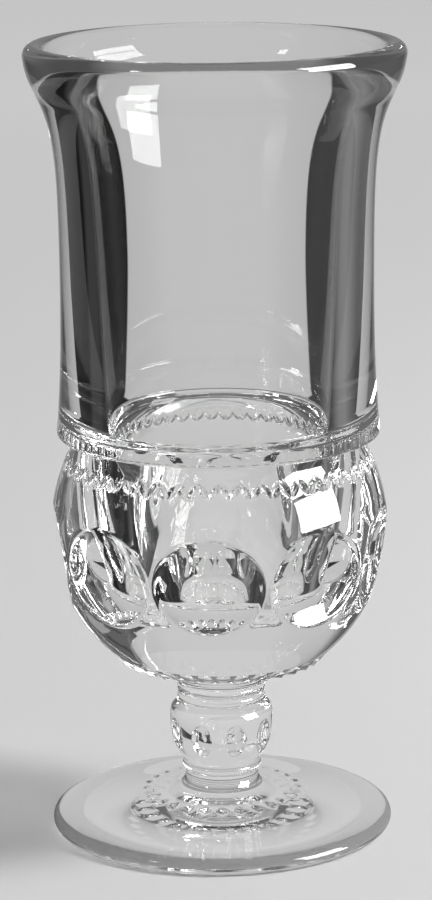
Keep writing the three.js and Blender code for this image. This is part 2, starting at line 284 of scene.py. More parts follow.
def bend(*controls, steps):
    """Points along a Bezier curve, without the first."""
    points = []
    for step in range(1, steps + 1):
        level = list(controls)
        while len(level) > 1:
            level = [a.lerp(b, step / steps) for a, b in zip(level, level[1:])]
        points.append(level[0])
    return points


def arc(centre, radius, from_angle, to_angle, steps):
    """Points along a circular arc, at angles above the outward direction."""
    points = []
    for step in range(steps + 1):
        turn = from_angle + (to_angle - from_angle) * step / steps
        points.append(centre + radius * point(math.cos(turn), math.sin(turn)))
    return points


def blend(low, high, value):
    """0 below low, 1 above high, and a smooth rise between them."""
    t = min(max((value - low) / (high - low), 0.0), 1.0)
    return t * t * (3.0 - 2.0 * t)


def smooth_least(a, b, rounding):
    """The lesser of two heights, with the edge between them rounded."""
    overlap = max(rounding - abs(a - b), 0.0)
    return min(a, b) - overlap * overlap / (4.0 * rounding)


def direction(azimuth, elevation):
    """A direction from the axis; azimuth 0 faces the camera and grows to the right."""
    level = math.cos(elevation)
    return Vector((level * math.sin(azimuth), -level * math.cos(azimuth), math.sin(elevation)))


def clear_selection():
    if bpy.context.mode != "OBJECT":
        bpy.ops.object.mode_set(mode="OBJECT")
    bpy.ops.object.select_all(action="DESELECT")


def active_mesh(name):
    piece = bpy.context.object
    piece.name = name
    piece.data.name = name
    return piece


def turned(name, profile, steps, start_azimuth=0.0, closed=False):
    """A profile drawn vertex by vertex and spun about the Z axis."""
    clear_selection()
    bpy.ops.mesh.primitive_plane_add(size=MM)
    piece = active_mesh(name)
    bpy.ops.object.mode_set(mode="EDIT")
    bpy.ops.mesh.merge(type="CENTER")
    side = direction(start_azimuth, 0.0)
    shell = bmesh.from_edit_mesh(piece.data)
    for index, place in enumerate(profile):
        if index:
            bpy.ops.mesh.extrude_vertices_move()
            shell = bmesh.from_edit_mesh(piece.data)
        tip = next(vertex for vertex in shell.verts if vertex.select)
        tip.co = side * place.x + Vector((0.0, 0.0, place.y))
    if closed:
        ends = [vertex for vertex in shell.verts if len(vertex.link_edges) == 1]
        for vertex in ends:
            vertex.select = True
        bpy.ops.mesh.edge_face_add()
    bpy.ops.mesh.select_all(action="SELECT")
    bpy.ops.mesh.spin(steps=steps, angle=FULL_TURN, **ABOUT_AXIS)
    tidy_shell()
    bpy.ops.object.mode_set(mode="OBJECT")
    return piece


def tidy_shell():
    """Merges doubles and turns all faces outwards, in edit mode."""
    bpy.ops.mesh.select_all(action="SELECT")
    bpy.ops.mesh.remove_doubles(threshold=MERGE_DISTANCE)
    bpy.ops.mesh.normals_make_consistent(inside=False)


def panel(name, columns, rows, place, repeats):
    """A grid shaped by place(column, row) and repeated round the axis."""
    clear_selection()
    bpy.ops.mesh.primitive_grid_add(x_subdivisions=columns, y_subdivisions=rows, size=2.0)
    piece = active_mesh(name)
    for vertex in piece.data.vertices:
        column = round((vertex.co.x + 1.0) * columns / 2.0)
        row = round((vertex.co.y + 1.0) * rows / 2.0)
        vertex.co = place(column, row)
    bpy.ops.object.mode_set(mode="EDIT")
    bpy.ops.mesh.select_all(action="SELECT")
    copies = repeats - 1
    sweep = FULL_TURN * copies / repeats
    bpy.ops.mesh.spin(steps=copies, dupli=True, angle=sweep, **ABOUT_AXIS)
    bpy.ops.object.mode_set(mode="OBJECT")
    return piece


def joined(name, shells):
    clear_selection()
    for shell in shells:
        shell.select_set(True)
    bpy.context.view_layer.objects.active = shells[0]
    bpy.ops.object.join()
    piece = active_mesh(name)
    bpy.ops.object.mode_set(mode="EDIT")
    tidy_shell()
    bpy.ops.object.mode_set(mode="OBJECT")
    return piece


def check_closed(piece):
    """Stops the build if a piece isn't one closed skin."""
    shell = bmesh.new()
    shell.from_mesh(piece.data)
    gaps = sum(1 for edge in shell.edges if not edge.is_manifold)
    shell.free()
    if gaps:
        raise RuntimeError(f"{piece.name} has {gaps} open edges")


def finished(piece, node, seams):
    """Smooths a piece, gives it glass, hides its fused seams and puts it in the frame."""
    check_closed(piece)
    clear_selection()
    piece.select_set(True)
    bpy.context.view_layer.objects.active = piece
    bpy.ops.object.shade_smooth_by_angle(angle=SMOOTH_ANGLE)
    piece.data.materials.clear()
    piece.data.materials.append(material("clear_pressed_glass", clear_glass))
    piece.data.materials.append(material("fused_seam", fused_seam))
    for face in piece.data.polygons:
        face.material_index = 1 if is_fused(face, seams) else 0
    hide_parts(node)
    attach(piece, BODY)


def is_fused(face, seams):
    """Whether a face lies in one of the seams, each a height and the radius that it reaches."""
    if abs(face.normal.z) <= LEVEL_NORMAL:
        return False
    reach = face.center.xy.length
    return any(abs(face.center.z - height) < SEAM_TOLERANCE and reach < radius for height, radius in seams)


def node_tree(owner):
    owner.use_nodes = True
    owner.node_tree.nodes.clear()
    return owner.node_tree


def add_node(tree, kind, inputs=None, **settings):
    """A shader node with its settings and its inputs, each a value or another node's socket."""
    node = tree.nodes.new(kind)
    for key, value in settings.items():
        setattr(node, key, value)
    for key, value in (inputs or {}).items():
        if isinstance(value, bpy.types.NodeSocket):
            tree.links.new(value, node.inputs[key])
        else:
            node.inputs[key].default_value = value
    return node


def math_node(tree, operation, *values):
    node = add_node(tree, "ShaderNodeMath", dict(enumerate(values)), operation=operation)
    return node.outputs[0]


def trapped_light(tree):
    """1 for light that has been mirrored inside the glass too often to find its own way out."""
    path = add_node(tree, "ShaderNodeLightPath")
    bounces = bpy.context.scene.glass_finish.trapped_bounces
    return math_node(tree, "GREATER_THAN", path.outputs["Glossy Depth"], bounces)


def mixed_colour(tree, factor, first, second, blend_type="MIX"):
    """Two colours mixed; a Mix node keeps them and the result among sockets for other kinds of data."""
    inputs = {0: factor, FIRST_COLOUR: first, SECOND_COLOUR: second}
    node = add_node(tree, "ShaderNodeMix", inputs, data_type="RGBA", blend_type=blend_type)
    return node.outputs[COLOUR_RESULT]


def level_axes(tree, place):
    """The X and the Y of a place."""
    axes = add_node(tree, "ShaderNodeSeparateXYZ", {0: place})
    return axes.outputs[0], axes.outputs[1]


def around_axis(tree, x, y):
    """The share of a turn round the axis, which is a half straight behind the glass."""
    turn = math_node(tree, "ARCTAN2", x, y)
    return math_node(tree, "MULTIPLY_ADD", turn, 1.0 / FULL_TURN, 0.5)


def grey_ramp(tree, around, stops):
    """Greys round the axis; a stop is degrees to the right of straight behind the glass, and a level."""
    node = add_node(tree, "ShaderNodeValToRGB", {0: around})
    ramp = node.color_ramp
    ramp.interpolation = "LINEAR"
    while len(ramp.elements) > 1:
        ramp.elements.remove(ramp.elements[0])
    for index, (degrees, level) in enumerate(stops):
        place = degrees / 360.0 + 0.5
        element = ramp.elements[0] if index == 0 else ramp.elements.new(place)
        element.position = place
        element.color = (level, level, level, 1.0)
    return node.outputs[0]


def material(name, surface):
    """The material of a name; the first call makes it, with a function that returns its surface."""
    made = bpy.data.materials.get(name)
    if not made:
        made = bpy.data.materials.new(name)
        tree = node_tree(made)
        add_node(tree, "ShaderNodeOutputMaterial", {"Surface": surface(tree)})
    return made


def clear_glass(tree):
    """Clear glass with the faint ripples of a fire-polished skin."""
    finish = bpy.context.scene.glass_finish
    ripples = {
        "Vector": add_node(tree, "ShaderNodeTexCoord").outputs["Object"],
        "Scale": finish.ripple_scale,
        "Detail": finish.ripple_detail,
        "Roughness": finish.ripple_roughness,
    }
    skin = {
        "Strength": finish.ripple_strength,
        "Distance": finish.ripple_height,
        "Height": add_node(tree, "ShaderNodeTexNoise", ripples).outputs[0],
    }
    glass = {
        "Base Color": finish.tint,
        "Roughness": 0.0,
        "IOR": finish.ior,
        "Transmission Weight": 1.0,
        "Normal": add_node(tree, "ShaderNodeBump", skin).outputs[0],
    }
    clear = add_node(tree, "ShaderNodeBsdfPrincipled", glass).outputs[0]
    leak = add_node(tree, "ShaderNodeBsdfTransparent", {"Color": finish.trapped_colour}).outputs[0]
    return add_node(tree, "ShaderNodeMixShader", {0: trapped_light(tree), 1: clear, 2: leak}).outputs[0]


def fused_seam(tree):
    """The unseen face where two bodies of glass are fused."""
    return add_node(tree, "ShaderNodeBsdfPrincipled", {"Alpha": 0.0}).outputs[0]


class GLASS_OT_foot(Operator):
    """Build the round foot with its coved hub"""

    bl_idname = "glass.foot"
    bl_label = "Foot"
    NOTCH_WIDTH = 0.95  # share of the pitch that a notch takes up at its widest

    def execute(self, context):
        size = context.scene.glass_foot
        stem = context.scene.glass_stem
        edge_round = size.edge_height / 2.0
        edge_centre = point(size.radius - edge_round, edge_round)
        edge = arc(edge_centre, edge_round, -RIGHT_ANGLE, RIGHT_ANGLE, steps=10)
        hub_rim = point(size.hub_radius, size.hub_rim_height)
        slope_aim = edge[-1].lerp(hub_rim, 0.5) - point(0.0, size.hollow)
        hub_top = point(stem.ring_seam_radius, RING_SEAM)
        kick = point(0.0, size.kick_height)
        kick_aim = point(size.rest_inner_radius / 2.0, size.kick_height)
        rest = point(size.rest_inner_radius, 0.0)
        cove_start = beyond(hub_rim, -size.hub_cove_reach, RIGHT_ANGLE)
        cove_end = beyond(hub_top, -size.hub_cove_drop, 0.0)
        profile = [
            kick,
            *bend(kick, kick_aim, rest, steps=16),
            point(size.rest_outer_radius, 0.0),
            *edge,
            *bend(edge[-1], slope_aim, hub_rim, steps=36),
            *bend(hub_rim, cove_start, cove_end, hub_top, steps=24),
            point(0.0, RING_SEAM),
        ]
        piece = turned("glass_foot", profile, size.steps)
        self.cut_teeth(piece, size)
        finished(piece, "foot", [(RING_SEAM, stem.ring_seam_radius)])
        return {"FINISHED"}

    def cut_teeth(self, piece, size):
        """Presses leaf-shaped notches across the hub's rim."""
        pitch = FULL_TURN / size.tooth_count
        for vertex in piece.data.vertices:
            reach = vertex.co.xy.length
            along = (reach - size.hub_radius) / (size.tooth_length / 2.0)
            if abs(along) >= 1.0 or vertex.co.z < size.hub_rim_height / 2.0:
                continue
            turn = math.atan2(vertex.co.x, -vertex.co.y) / pitch
            across = abs(turn - round(turn)) * 2.0
            width = self.NOTCH_WIDTH * (1.0 - along * along)
            if across < width:
                vertex.co.z -= size.tooth_depth * (1.0 - across / width) * (1.0 - along * along)


class GLASS_OT_base_ring(Operator):
    """Build the thin ring between the foot and the knop"""

    bl_idname = "glass.base_ring"
    bl_label = "Base ring"

    def execute(self, context):
        size = context.scene.glass_stem
        side = bead(size.ring_seam_radius, size.ring_radius, RING_SEAM, KNOP_SEAM)
        profile = [point(0.0, RING_SEAM), point(size.ring_seam_radius, RING_SEAM), *side]
        profile += [point(size.knop_base_radius, KNOP_SEAM), point(0.0, KNOP_SEAM)]
        piece = turned("glass_base_ring", profile, size.steps)
        seams = [(RING_SEAM, size.ring_seam_radius), (KNOP_SEAM, size.knop_base_radius)]
        finished(piece, "base_ring", seams)
        return {"FINISHED"}


BEAD_FULLNESS = 0.75  # how far towards its two aims the middle of a Bezier curve reaches


def bead(seam_radius, radius, low, high):
    """The rounded side of a bead between two seams, without its first point."""
    aim = seam_radius + (radius - seam_radius) / BEAD_FULLNESS
    controls = [point(seam_radius, low), point(aim, low), point(aim, high), point(seam_radius, high)]
    return bend(*controls, steps=16)


class GLASS_OT_knop(Operator):
    """Build the barrel knop with its oval dishes"""

    bl_idname = "glass.knop"
    bl_label = "Knop"
    FINENESS = 2  # faces round the knop for each face round the rest of the stem
    PRESSED_REACH = 1.2  # how far an oval's rounded rim can reach, in half ovals
    RIM_ROUNDING = 0.1  # rounding of an oval's rim, as a share of its depth

    def execute(self, context):
        size = context.scene.glass_stem
        base = point(size.knop_base_radius, KNOP_SEAM)
        widest = point(size.knop_radius, KNOP_SEAM + size.knop_widest)
        top = point(size.knop_top_radius, COLLAR_SEAM)
        profile = [
            point(0.0, KNOP_SEAM),
            base,
            *bend(base, beyond(widest, -size.knop_belly, 0.0), widest, steps=60),
            *bend(widest, beyond(widest, size.knop_shoulder, 0.0), top, steps=24),
            point(size.collar_seam_radius, COLLAR_SEAM),
            point(0.0, COLLAR_SEAM),
        ]
        piece = turned("glass_knop", profile, self.FINENESS * size.steps)
        self.press_ovals(piece, size, context.scene.glass_bulb.print_turn)
        seams = [(KNOP_SEAM, size.knop_base_radius), (COLLAR_SEAM, size.collar_seam_radius)]
        finished(piece, "stem_knop", seams)
        return {"FINISHED"}

    def press_ovals(self, piece, size, print_turn):
        """Presses oval dishes into the lower half of the knop, under the gaps between thumbprints."""
        pitch = FULL_TURN / size.oval_count
        for vertex in piece.data.vertices:
            reach = vertex.co.xy.length
            up = (vertex.co.z - KNOP_SEAM - size.oval_lift) / (size.oval_height / 2.0)
            if abs(up) >= self.PRESSED_REACH or reach < size.knop_base_radius:
                continue
            turn = (math.atan2(vertex.co.x, -vertex.co.y) - print_turn) / pitch - 0.5
            across = (turn - round(turn)) * pitch * reach / (size.oval_width / 2.0)
            bowl = size.oval_depth * (1.0 - across * across - up * up)
            depth = -smooth_least(-bowl, 0.0, self.RIM_ROUNDING * size.oval_depth)
            vertex.co.xy *= (reach - depth) / reach


class GLASS_OT_collar(Operator):
    """Build the beaded collar under the bowl"""

    bl_idname = "glass.collar"
    bl_label = "Collar"

    def execute(self, context):
        size = context.scene.glass_stem
        bead_height = (BULB_SEAM - COLLAR_SEAM) / size.collar_beads
        profile = [point(0.0, COLLAR_SEAM), point(size.collar_seam_radius, COLLAR_SEAM)]
        for index in range(size.collar_beads):
            low = COLLAR_SEAM + index * bead_height
            profile += bead(size.collar_seam_radius, size.collar_radius, low, low + bead_height)
        profile.append(point(0.0, BULB_SEAM))
        piece = turned("glass_collar", profile, size.steps)
        seams = [(COLLAR_SEAM, size.collar_seam_radius), (BULB_SEAM, size.collar_seam_radius)]
        finished(piece, "neck_collar", seams)
        return {"FINISHED"}


class GLASS_OT_bulb(Operator):
    """Build the ball-shaped bowl with its thumbprints, zigzag band and scalloped edge"""

    bl_idname = "glass.bulb"
    bl_label = "Thumbprint bulb"
    HALF_COLUMNS = 27  # from a thumbprint's middle out to its rim
    HALF_ROWS = 14
    RIM_STEPS = 13  # close columns or rows at the rim
    RIM_START = 0.84  # where they begin, as a share of the half panel
    RING_END = 0.965  # where the rings round a dish begin to turn square
    ROWS_BELOW = 8  # from the scallops to a thumbprint's square
    ROWS_ABOVE = 5  # from the square to the zigzag band
    ZIGZAG_COLUMNS = 15
    ZIGZAG_ROWS = 20
    ZIGZAG_REACH = 0.75  # of its panels below the band's middle, in heights of the band
    SCALLOP_COLUMNS = 20
    SCALLOP_ROWS = 20
    SCALLOP_MARGIN = 0.4 * MM
    UNDER_ROWS = 2
    UNDER_DEPTHS = 1.5  # reach of the scallops' panels under the bulb, in scallop depths

    def execute(self, context):
        self.size = context.scene.glass_bulb
        self.read_form(context.scene.glass_stem, context.scene.glass_cup)
        size = self.size
        columns = len(self.print_columns) - 1
        rows = len(self.print_rows) - 1
        zigzag_grid = (self.ZIGZAG_COLUMNS, self.ZIGZAG_ROWS)
        scallop_grid = (self.SCALLOP_COLUMNS, self.SCALLOP_ROWS)
        shells = [
            panel("thumbprints", columns, rows, self.print_place, size.print_count),
            panel("zigzag", *zigzag_grid, self.zigzag_place, size.zigzag_count),
            panel("scallops", *scallop_grid, self.scallop_place, size.scallop_count),
        ]
        steps = columns * size.print_count
        start = size.print_turn - math.pi / size.print_count
        shells.append(turned("underside", self.underside(), steps, start))
        shells.append(turned("inside", self.inside(), steps, start))
        piece = joined("glass_bulb", shells)
        seams = [(BULB_SEAM, self.seam_radius), (CUP_SEAM, size.top_radius)]
        finished(piece, "thumbprint_bulb", seams)
        return {"FINISHED"}

    def read_form(self, stem, cup):
        """Works out the places that the panels share."""
        size = self.size
        self.seam_radius = stem.collar_seam_radius
        self.inner_radius = cup.inner_seam_radius
        self.taper = math.atan2(cup.inner_waist_radius - cup.inner_seam_radius, cup.inner_waist_lift)
        self.centre = CUP_SEAM - math.sqrt(size.radius**2 - size.top_radius**2)
        self.edge = point(size.edge_radius, self.centre - size.lift)
        self.band_angle = -math.asin((size.lift - size.band_height) / size.radius)
        band_reach = size.radius * math.cos(self.band_angle) - size.edge_radius
        self.band_top = self.edge + point(band_reach, size.band_height)
        self.band_run = (self.band_top - self.edge).length
        self.top_angle = math.acos(size.top_radius / size.radius)
        self.print_tilt = -math.asin(size.print_drop / size.radius)
        self.print_half_turn = math.pi / size.print_count
        self.zigzag_middle = math.asin(size.zigzag_lift / size.radius)
        self.zigzag_low = self.zigzag_middle - self.ZIGZAG_REACH * size.zigzag_height / size.radius
        self.scallop_run = max(size.scallop_height, self.band_run) + self.SCALLOP_MARGIN
        self.scallop_high = self.band_angle + (self.scallop_run - self.band_run) / size.radius
        half = size.print_diameter / 2.0
        self.dish_radius = (half**2 + size.print_depth**2) / (2.0 * size.print_depth)
        self.dish_reach = math.sqrt(size.radius**2 - half**2) - size.print_depth + self.dish_radius
        self.print_rows = self.print_zone()
        self.print_columns = self.grid_values(self.HALF_COLUMNS)
        self.print_middle = direction(size.print_turn, self.print_tilt)
        self.print_right = direction(size.print_turn + RIGHT_ANGLE, 0.0)
        self.print_above = self.print_middle.cross(self.print_right)

    def on_ball(self, aim, depth=0.0):
        return aim * (self.size.radius - depth) + Vector((0.0, 0.0, self.centre))

    def grid_values(self, plain_steps):
        """Values from -1 to 1 across a thumbprint's panel, close together near its rim."""
        rim = 1.0 - self.RIM_START
        half = [self.RIM_START * step / plain_steps for step in range(plain_steps)]
        half += [self.RIM_START + rim * step / self.RIM_STEPS for step in range(self.RIM_STEPS + 1)]
        return [-value for value in reversed(half[1:])] + half

    def print_zone(self):
        """Rows of a thumbprint's panel: elevation, place in the square, and evenness of the columns."""
        low = self.print_tilt - self.print_half_turn
        high = self.print_tilt + self.print_half_turn
        rows = []
        for step in range(self.ROWS_BELOW):
            elevation = self.scallop_high + (low - self.scallop_high) * step / self.ROWS_BELOW
            rows.append((elevation, None, 1.0 - step / self.ROWS_BELOW))
        for value in self.grid_values(self.HALF_ROWS):
            rows.append((self.print_tilt + value * self.print_half_turn, value, 0.0))
        for step in range(1, self.ROWS_ABOVE + 1):
            elevation = high + (self.zigzag_low - high) * step / self.ROWS_ABOVE
            rows.append((elevation, None, step / self.ROWS_ABOVE))
        return rows

    def print_place(self, column, row):
        """A point of one thumbprint's panel, whose grid bends into rings round the dish."""
        elevation, up, evenness = self.print_rows[row]
        across = self.print_columns[column]
        even = 2.0 * column / (len(self.print_columns) - 1) - 1.0
        azimuth = (across + (even - across) * evenness) * self.print_half_turn
        aim = direction(self.size.print_turn + azimuth, elevation)
        if up is None:
            return self.on_ball(aim)
        ring = max(abs(across), abs(up))
        squat = self.size.print_height / self.size.print_diameter
        spread = Vector((across, up))
        spread.normalize()
        side = self.print_right * spread.x + self.print_above * (spread.y * squat)
        turn = ring * self.print_half_turn * side.length
        ring_aim = self.print_middle * math.cos(turn) + side.normalized() * math.sin(turn)
        aim = ring_aim.lerp(aim, blend(self.RING_END, 1.0, ring)).normalized()
        return self.on_ball(aim, self.size.radius - self.dished(ring * self.print_half_turn))

    def dished(self, turn):
        """From the ball's middle to its dished surface, at an angle from the dish's middle."""
        off = math.cos(turn) * self.dish_reach
        gap = self.dish_radius**2 - self.dish_reach**2 + off * off
        if gap <= 0.0:
            return self.size.radius
        return smooth_least(self.size.radius, off - math.sqrt(gap), self.size.print_rounding)

    def zigzag_place(self, column, row):
        """A point of one zigzag's panel: two leaf-shaped strokes that lean on each other."""
        size = self.size
        pitch = FULL_TURN / size.zigzag_count
        elevation = self.zigzag_low + (self.top_angle - self.zigzag_low) * row / self.ZIGZAG_ROWS
        turn = column / self.ZIGZAG_COLUMNS
        aim = direction(size.print_turn + turn * pitch, elevation)
        half_pitch = 0.5 * pitch * size.radius * math.cos(self.zigzag_middle)
        stroke = Vector((half_pitch, size.zigzag_height))
        half_length = stroke.length / 2.0
        along = stroke.normalized()
        fold = 1.0 - abs(2.0 * turn - 1.0)
        place = Vector(((fold - 0.5) * half_pitch, (elevation - self.zigzag_middle) * size.radius))
        run = place.dot(along) / half_length
        leaf = 1.0 - run * run
        if leaf <= 0.0:
            return self.on_ball(aim)
        off = (place.x * along.y - place.y * along.x) / (leaf * size.zigzag_width / 2.0)
        return self.on_ball(aim, size.zigzag_depth * leaf * max(1.0 - off * off, 0.0))

    def scallop_place(self, column, row):
        """A point of one scallop's panel: a hollow with an arched top, pressed into the sloping band."""
        size = self.size
        across = 2.0 * column / self.SCALLOP_COLUMNS - 1.0
        azimuth = size.print_turn + FULL_TURN / size.scallop_count * column / self.SCALLOP_COLUMNS
        level = max(row - self.UNDER_ROWS, 0) / (self.SCALLOP_ROWS - self.UNDER_ROWS)
        up = level * self.scallop_run
        if up < self.band_run:
            place = self.edge.lerp(self.band_top, up / self.band_run)
        else:
            rise = self.band_angle + (up - self.band_run) / size.radius
            place = point(size.radius * math.cos(rise), self.centre + size.radius * math.sin(rise))
        bowl = 1.0 - across**2 - (up / size.scallop_height) ** 2
        place.x -= size.scallop_depth * max(bowl, 0.0)
        if row < self.UNDER_ROWS:
            place.x += (self.under_radius() - place.x) * (1.0 - row / self.UNDER_ROWS)
        return direction(azimuth, 0.0) * place.x + Vector((0.0, 0.0, place.y))

    def under_radius(self):
        """Radius inside the scallops, where the turned underside begins."""
        return self.size.edge_radius - self.UNDER_DEPTHS * self.size.scallop_depth

    def underside(self):
        """From inside the scallops in to the collar and the axis."""
        rim = point(self.under_radius(), self.edge.y)
        neck = point(self.seam_radius, BULB_SEAM)
        aim = point(self.seam_radius, rim.y)
        return [rim, *bend(rim, aim, neck, steps=8), point(0.0, BULB_SEAM)]

    def inside(self):
        """From the ball's top edge in along the seam and down the hollow to its floor."""
        outer = point(self.size.top_radius, CUP_SEAM)
        rim = point(self.inner_radius, CUP_SEAM)
        floor = BULB_SEAM + self.size.floor_thickness
        wall = beyond(rim, -self.size.wall_run, self.taper)
        corner = point(self.size.floor_radius, floor + self.size.floor_corner)
        level = point(self.size.floor_radius - self.size.floor_corner, floor)
        turn = bend(corner, point(self.size.floor_radius, floor), level, steps=8)
        return [outer, rim, *bend(rim, wall, corner, steps=10), *turn, point(0.0, floor)]


class GLASS_OT_cup(Operator):
    """Build the plain flared cup"""

    bl_idname = "glass.cup"
    bl_label = "Flared cup"

    def execute(self, context):
        size = context.scene.glass_cup
        bulb = context.scene.glass_bulb
        ledge_centre = point(size.ledge_radius - size.ledge_rounding, CUP_SEAM + size.ledge_rounding)
        ledge = arc(ledge_centre, size.ledge_rounding, -RIGHT_ANGLE, 0.0, steps=8)
        taper_aim = point(size.waist_radius, CUP_SEAM + size.ledge_taper)
        waist = point(size.waist_radius, CUP_SEAM + size.waist_lift)
        waist_aim = beyond(waist, size.waist_run, 0.0)
        flare = point(size.flare_radius, RIM_HEIGHT - size.flare_drop)
        flare_aim = beyond(flare, -size.flare_run, size.flare_lean)
        lip_round = size.lip_thickness / 2.0
        lip_centre = point(size.lip_radius - lip_round, RIM_HEIGHT - lip_round)
        lip = arc(lip_centre, lip_round, -size.lip_lean, math.pi - size.inner_lip_lean, steps=16)
        throat = point(size.throat_radius, RIM_HEIGHT - size.throat_drop)
        inner_waist = point(size.inner_waist_radius, CUP_SEAM + size.inner_waist_lift)
        inner_seam = point(size.inner_seam_radius, CUP_SEAM)
        lip_aim = beyond(lip[0], -size.lip_run, size.lip_lean)
        inner_aim = beyond(lip[-1], -size.inner_lip_run, size.inner_lip_lean)
        shoulder = point(size.shoulder_radius, CUP_SEAM + size.shoulder_lift)
        shoulder_aim = beyond(shoulder, -size.shoulder_run, 0.0)
        seam_aim = beyond(inner_seam, size.inner_seam_run, 0.0)
        taper = math.atan2(inner_waist.x - shoulder.x, inner_waist.y - shoulder.y)
        mouth_aim = beyond(throat, size.throat_run, size.throat_lean)
        throat_aim = beyond(throat, -size.throat_depth, size.throat_lean)
        inner_waist_aim = beyond(inner_waist, size.inner_waist_run, taper)
        profile = [
            inner_seam,
            point(bulb.top_radius, CUP_SEAM),
            *ledge,
            *bend(ledge[-1], taper_aim, waist, steps=20),
            *bend(waist, waist_aim, flare_aim, flare, steps=28),
            *bend(flare, beyond(flare, size.lip_run, size.flare_lean), lip_aim, lip[0], steps=14),
            *lip[1:],
            *bend(lip[-1], inner_aim, mouth_aim, throat, steps=18),
            *bend(throat, throat_aim, inner_waist_aim, inner_waist, steps=36),
            *bend(inner_waist, inner_waist.lerp(shoulder, 0.5), shoulder, steps=12),
            *bend(shoulder, shoulder_aim, seam_aim, inner_seam, steps=12)[:-1],
        ]
        piece = turned("glass_cup", profile, size.steps, closed=True)
        finished(piece, "flared_cup", [(CUP_SEAM, bulb.top_radius)])
        return {"FINISHED"}


# Lamps seen from the glass: azimuth and elevation in degrees, the rest in metres.
Lamp = namedtuple("Lamp", ["name", "azimuth", "elevation", "distance", "width", "height"])
WINDOW_PANES = [Lamp("window", 73.0, 29.0, 1.3, 0.8, 0.32), Lamp("window", 73.0, 10.0, 1.3, 0.8, 0.45)]
FILL_LAMP = Lamp("fill", -50.0, 30.0, 1.3, 0.12, 0.25)
KEY_LAMP = Lamp("key", 84.0, 42.0, 1.0, 0.3, 0.3)
LIT_HEIGHT = 90.0 * MM

# What glass shows of its surroundings, as stops for grey_ramp. The ground stops are painted light and
# shade: greys that the floor glows with only for glass.
PAINTED_GROUND_SIDES = [
    (-180, 0.5), (-130, 0.5), (-112, 0.12), (-98, 0.02), (-68, 0.02), (-62, 0.045), (-52, 0.045),
    (-47, 0.006), (0, 0.006), (1, 0.03), (30, 0.035), (38, 0.1), (44, 0.16), (50, 0.22), (58, 0.2),
    (64, 0.12), (68, 0.05), (98, 0.05), (112, 0.12), (130, 0.5), (180, 0.5),
]
PAINTED_GROUND_REFLECTION = [
    (-180, 0.12), (-120, 0.05), (-100, 0.03), (-30, 0.03), (-12, 0.5), (12, 0.5), (30, 0.1), (70, 0.3),
    (110, 0.2), (180, 0.12),
]
SKY_THROUGH = [
    (-180, 0.4), (-130, 0.4), (-110, 0.12), (-56, 0.08), (-44, 0.6), (44, 0.6), (56, 0.08), (110, 0.12),
    (130, 0.4), (180, 0.4),
]
SKY_MIRRORED = [(-180, 0.12), (-120, 0.05), (-60, 0.05), (0, 0.3), (60, 0.2), (180, 0.12)]


